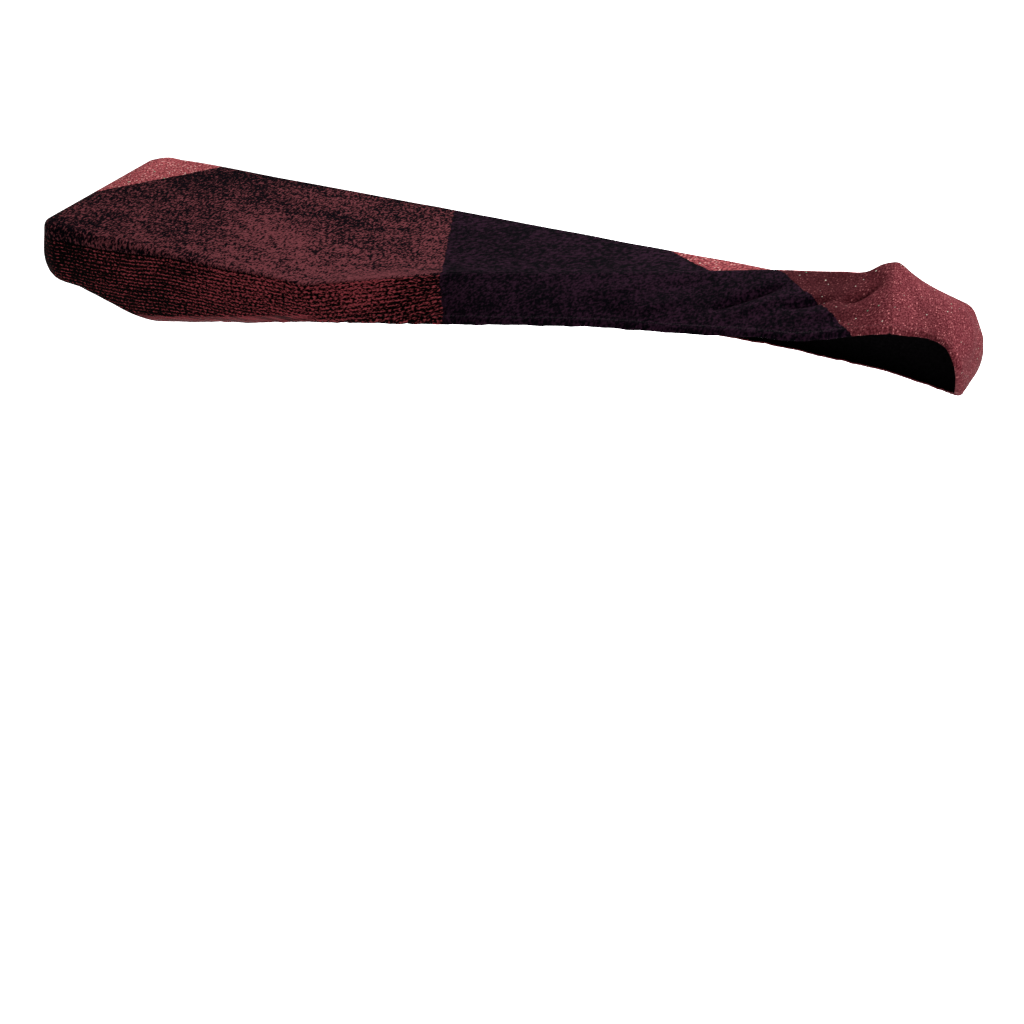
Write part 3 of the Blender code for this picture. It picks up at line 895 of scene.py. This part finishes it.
def add_stitches(panel, thread):
    """Row of small stitches along the hem, one joined mesh."""
    row = len(panel["grid"]) - 1 - HEM_ROWS.index(CASING_WIDTH)
    points = stitch_rings(panel, row)
    mesh = bpy.data.meshes.new(panel["name"] + "_stitches")
    mesh.from_pydata(points.reshape(-1, 3).tolist(), [], stitch_faces(len(points)))
    mesh.materials.append(thread)
    mesh.shade_smooth()
    piece = add_object(panel["name"] + "_stitches", mesh)
    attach(piece, "root")
    return piece


class Graph:
    """Short names for the shader nodes that the materials are built from."""

    def __init__(self, name):
        self.material = bpy.data.materials.new(name)
        self.material.use_nodes = True
        self.tree = self.material.node_tree
        self.shader = self.tree.nodes["Principled BSDF"]

    def feed(self, socket, value):
        """Link another node's output to a socket, or set the socket to a number or a colour."""
        if isinstance(value, bpy.types.NodeSocket):
            self.tree.links.new(value, socket)
        elif socket.type == "RGBA":
            socket.default_value = (*value, 1)
        else:
            socket.default_value = value

    def shade(self, name, value):
        """Feed one of the shader's own sockets."""
        self.feed(self.shader.inputs[name], value)

    def finish(self, table):
        """Set several of the shader's sockets to plain values."""
        for name, value in table.items():
            self.shade(name, value)

    def node(self, kind):
        return self.tree.nodes.new("ShaderNode" + kind)

    def math(self, operation, first, second=0.0, third=0.0):
        node = self.node("Math")
        node.operation = operation
        for socket, value in zip(node.inputs, (first, second, third)):
            self.feed(socket, value)
        return node.outputs[0]

    add = partialmethod(math, "ADD")
    times = partialmethod(math, "MULTIPLY")
    times_plus = partialmethod(math, "MULTIPLY_ADD")

    def centred(self, value, reach):
        """A value from 0 to 1 spread over the given reach, half of it below 0."""
        return self.times_plus(value, reach, -reach / 2)

    def between(self, value, low, high, start=0.0, end=1.0):
        """Value read from low to high as start to end, smoothly, and held beyond."""
        node = self.node("MapRange")
        node.interpolation_type = "SMOOTHSTEP"
        for socket, given in zip(node.inputs, (value, low, high, start, end)):
            self.feed(socket, given)
        return node.outputs[0]

    def mix(self, share, first, second):
        """Mix of two colours, whose sockets on the node are 6 and 7, and 2 for the result."""
        node = self.node("Mix")
        node.data_type = "RGBA"
        self.feed(node.inputs[0], share)
        self.feed(node.inputs[6], first)
        self.feed(node.inputs[7], second)
        return node.outputs[2]

    def flat(self, layer):
        """Cloth coordinates of a UV layer: both together, the first and the second."""
        node = self.node("UVMap")
        node.uv_map = layer
        split = self.node("SeparateXYZ")
        self.feed(split.inputs[0], node.outputs[0])
        return node.outputs[0], split.outputs[0], split.outputs[1]

    def read_cloth(self):
        self.place, self.along, self.across = self.flat("weave")

    def noise(self, name, finer=1.0):
        """Noise from the table by its name."""
        row = dict(zip(NOISE_COLUMNS, NOISES[name]))
        drawn = self.node("VectorMath")
        drawn.operation = "MULTIPLY"
        self.feed(drawn.inputs[0], self.place)
        drawn.inputs[1].default_value = (row["along"], row["across"], 1)
        node = self.node("TexNoise")
        node.noise_dimensions = "4D"
        self.feed(node.inputs["Vector"], drawn.outputs[0])
        node.inputs["W"].default_value = row["shift"]
        node.inputs["Scale"].default_value = 1 / (row["size"] * finer)
        node.inputs["Detail"].default_value = row["detail"]
        node.inputs["Roughness"].default_value = row["rough"]
        return node.outputs[0]

    def dots(self, kind, finer, bare):
        """Strength of small dots, in the share of the cells that isn't bare, and their tint."""
        dot = dict(zip(DOT_COLUMNS, kind))
        node = self.node("TexVoronoi")
        self.feed(node.inputs["Vector"], self.place)
        node.inputs["Scale"].default_value = 1 / (dot["cell"] * finer)
        split = self.node("SeparateColor")
        self.feed(split.inputs[0], node.outputs["Color"])
        near = self.between(node.outputs["Distance"], dot["whole_to"], dot["gone_at"], 1, 0)
        chance = split.outputs[0]
        shown = self.between(chance, bare, bare + dot["chance_fade"], 0.0, dot["strength"])
        return self.times(near, shown), split.outputs[1]

    def bump(self, height, distance, before=None):
        """Normal of a relief in metres, on top of another one where that is given."""
        node = self.node("Bump")
        node.inputs["Strength"].default_value = 1
        node.inputs["Distance"].default_value = distance
        self.feed(node.inputs["Height"], height)
        if before is not None:
            self.feed(node.inputs["Normal"], before)
        return node.outputs[0]


def past_line(graph, line, wobble):
    """1 to the right of a slanted line of the print, and 0 to its left, with a knitted edge."""
    at_crest, slant = line
    edge = graph.times_plus(graph.block_across, slant, at_crest)
    beyond = graph.math("SUBTRACT", graph.block_along, edge)
    return graph.between(graph.add(beyond, wobble), -LINE_BLUR, LINE_BLUR)


def maroon_level(graph):
    """Slow change of the maroon, darker towards the left end and lighter towards the middle."""
    level = graph.centred(graph.noise("maroon_patches"), MAROON_PATCHES)
    level = graph.times_plus(graph.noise("maroon_streaks"), MAROON_STREAKS, level)
    return graph.add(level, graph.between(graph.along, *MAROON_ALONG))


def maroon_rows(graph):
    """Mottled maroon of the drops, in broken rows of the print."""
    wave = graph.times(graph.across, 2 * math.pi / ROW_PITCH)
    wave = graph.math("SINE", graph.times_plus(graph.noise("row_wander"), ROW_WANDER, wave))
    strength = graph.between(graph.along, *ROW_STRENGTH)
    grain = graph.times_plus(wave, strength, graph.noise("row_breaks"))
    level = graph.add(maroon_level(graph), graph.between(graph.along, *ROWS_AT_BLACK))
    level = graph.add(level, graph.between(graph.along, *ROWS_AT_LEFT))
    light = graph.between(graph.add(grain, level), *ROW_RANGE)
    return graph.mix(light, MAROON_ROW_DARK, MAROON_ROW_LIGHT)


def maroon_speckle(graph):
    """Mottled maroon of the top, in a fine speckle that darkens a little towards the back."""
    level = graph.add(maroon_level(graph), graph.between(graph.across, *TOP_AT_BACK))
    light = graph.between(graph.add(graph.noise("maroon_speckle"), level), *SPECKLE_RANGE)
    return graph.mix(light, MAROON_DARK, MAROON_LIGHT)


def black_ground(graph, on_drop):
    """Near-black with faint dark purple speckle, stronger in patches and finer on the drops."""
    grain = graph.noise("black_speckle_drops" if on_drop else "black_speckle_top")
    grain = graph.times_plus(graph.noise("black_patches"), BLACK_PATCHES, grain)
    return graph.mix(graph.between(grain, *BLACK_RANGE), BLACK_DEEP, BLACK_SPECK)


def coral_ground(graph, on_drop):
    """Coral with fine glitter: small bright flecks, and a few pale and greenish sparks. On the
    front drop it is darkened beside the black by painted shade, where shade falls left of the
    bump."""
    # Painted light and shade: the top's coral is painted lighter than the coral of the drops.
    coral = CORAL_ON_DROPS_PAINTED_SHADE if on_drop else CORAL_ON_TOP_PAINTED_LIT
    patches = graph.centred(graph.noise("coral_patches"), CORAL_PATCHES)
    grain = graph.add(graph.noise("coral_grain", coral["grain"]), patches)
    base = graph.mix(graph.between(grain, *CORAL_RANGE), coral["dark"], coral["bright"])
    fleck, _ = graph.dots(FLECKS, coral["grain"], coral["no_fleck"])
    base = graph.mix(fleck, base, coral["fleck"])
    if on_drop:
        # Painted shade on the front drop's coral beside the black, where shade falls left of the
        # bump.
        painted_shade = graph.between(graph.block_along, *PAINTED_SHADE_ALONG)
        on_front = graph.between(graph.block_across, *PAINTED_SHADE_ACROSS)
        base = graph.mix(graph.times(painted_shade, on_front), base, CORAL_PAINTED_SHADE_COLOUR)
    spark, tint = graph.dots(SPARKS, coral["grain"], coral["no_spark"])
    sparkle = graph.mix(graph.between(tint, *GREEN_RANGE), PALE_SPARK, GREEN_SPARK)
    return graph.mix(spark, base, sparkle)


def foot_strip(graph, shade):
    """Print with the smooth strip along the foot of the front, where its colours run together,
    and the share of the strip in it."""
    _, above_foot, _ = graph.flat("edge")
    edge = graph.times_plus(graph.noise("strip_edge"), STRIP_RAGGED, above_foot)
    low = graph.between(edge, STRIP_WIDTH, STRIP_WIDTH + STRIP_BLUR, 1, 0)
    started = graph.between(graph.along, *STRIP_STARTS)
    ended = graph.between(graph.along, *STRIP_ENDS)
    share = graph.times(low, graph.times(started, ended))
    streaks = graph.between(graph.noise("strip_streaks"), *STRIP_RANGE)
    return graph.mix(share, shade, graph.mix(streaks, STRIP_DARK, STRIP_LIGHT)), share


def knit_surface(graph, smooth=None):
    """Roughness and bump of a fine knit, with its ribs along the cover. smooth, where given, is
    1 where the cloth is stretched smooth and a little glossy."""
    ribs = graph.math("SINE", graph.times(graph.across, 2 * math.pi / RIB_PITCH))
    loops = graph.math("SINE", graph.times(graph.along, 2 * math.pi / LOOP_PITCH))
    fuzz = graph.noise("fuzz")
    height = graph.times_plus(fuzz, FUZZ_RELIEF, ribs)
    height = graph.times_plus(graph.times(loops, ribs), LOOP_RELIEF, height)
    normal = graph.bump(height, KNIT_BUMP)
    graph.shade("Normal", graph.bump(graph.noise("pills"), PILL_BUMP, normal))
    rough = graph.between(fuzz, *KNIT_ROUGHNESS)
    gloss = GLOSS
    if smooth is not None:
        rough = graph.times_plus(smooth, SMOOTH_ROUGHNESS, rough)
        gloss = graph.times_plus(smooth, SMOOTH_GLOSS, gloss)
    graph.shade("Roughness", rough)
    graph.shade("Specular IOR Level", gloss)
    graph.shade("Sheen Tint", CORAL_ON_TOP_PAINTED_LIT["bright"])
    graph.finish(KNIT_SHEEN)


def printed_knit(name, on_drop):
    """The print: slanted blocks of maroon, near-black and coral on the outside of the cloth."""
    graph = Graph(name)
    graph.read_cloth()
    _, graph.block_along, graph.block_across = graph.flat("blocks")
    teeth = graph.centred(graph.noise("line_teeth"), LINE_TEETH)
    wobble = graph.add(teeth, graph.centred(graph.noise("line_waves"), LINE_WAVES))
    maroon = maroon_rows(graph) if on_drop else maroon_speckle(graph)
    black = black_ground(graph, on_drop)
    coral = coral_ground(graph, on_drop)
    shade = graph.mix(past_line(graph, CORAL_TO_MAROON, wobble), coral, maroon)
    shade = graph.mix(past_line(graph, MAROON_TO_BLACK, wobble), shade, black)
    shade = graph.mix(past_line(graph, BLACK_TO_CORAL, wobble), shade, coral)
    smooth = None
    if on_drop:
        shade, smooth = foot_strip(graph, shade)
    graph.shade("Base Color", shade)
    knit_surface(graph, smooth)
    return graph.material


def plain_knit():
    """The unprinted inner side of the cloth."""
    graph = Graph("knit_inside")
    graph.read_cloth()
    grain = graph.between(graph.noise("inside_grain"), *INSIDE_RANGE)
    graph.shade("Base Color", graph.mix(grain, INSIDE_DARK, INSIDE_LIGHT))
    knit_surface(graph)
    return graph.material


def thread_material():
    """Twisted dark sewing thread."""
    graph = Graph("stitch_thread")
    graph.place = graph.node("TexCoord").outputs["Object"]
    twist = graph.noise("thread_twist")
    graph.shade("Base Color", graph.mix(twist, THREAD_DARK, THREAD_LIGHT))
    graph.shade("Normal", graph.bump(twist, THREAD_BUMP))
    graph.finish(THREAD_FINISH)
    return graph.material


def floor_material():
    """Pale floor with a faint glow, which meets the white world without a line."""
    graph = Graph("pale_floor")
    graph.finish(FLOOR_FINISH)
    return graph.material


def add_floor():
    mesh = bpy.data.meshes.new("floor")
    corners = [(-1, -1), (1, -1), (1, 1), (-1, 1)]
    points = [(x * FLOOR_REACH, y * FLOOR_REACH, FLOOR_HEIGHT) for x, y in corners]
    mesh.from_pydata(points, [], [(0, 1, 2, 3)])
    mesh.materials.append(floor_material())
    floor = add_object("floor", mesh)


def add_camera():
    data = bpy.data.cameras.new("camera")
    data.lens = CAMERA_LENS
    data.sensor_width = CAMERA_SENSOR
    camera = add_object("camera", data)
    camera.location = CAMERA_PLACE
    camera.rotation_euler = [math.radians(angle) for angle in CAMERA_TURNS]
    bpy.context.scene.camera = camera


def add_light(name, spot, target, size, power):
    """Soft square light that faces its target."""
    data = bpy.data.lights.new(name, "AREA")
    data.size = size
    data.energy = power
    light = add_object(name, data)
    light.location = spot
    aim = Vector(target) - Vector(spot)
    light.rotation_euler = aim.to_track_quat("-Z", "Y").to_euler()


def add_studio():
    """White world and the lights."""
    world = bpy.data.worlds.new("studio")
    world.use_nodes = True
    background = world.node_tree.nodes["Background"]
    background.inputs["Color"].default_value = (1, 1, 1, 1)
    background.inputs["Strength"].default_value = WORLD_STRENGTH
    bpy.context.scene.world = world
    bpy.context.scene.view_settings.view_transform = "Standard"
    for row in LIGHTS:
        add_light(*row)


def build_scene():
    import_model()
    add_camera()
    add_studio()
    add_floor()

    panels = make_panels()
    lay_out_print(panels)
    speckled = printed_knit("printed_knit_top", False)
    in_rows = printed_knit("printed_knit_drops", True)
    inside = plain_knit()
    thread = thread_material()
    for key, panel in panels.items():
        cloth = add_cloth(panel, [speckled if key == "top" else in_rows, inside])
        if key != "top":
            stitches = add_stitches(panel, thread)


build_scene()
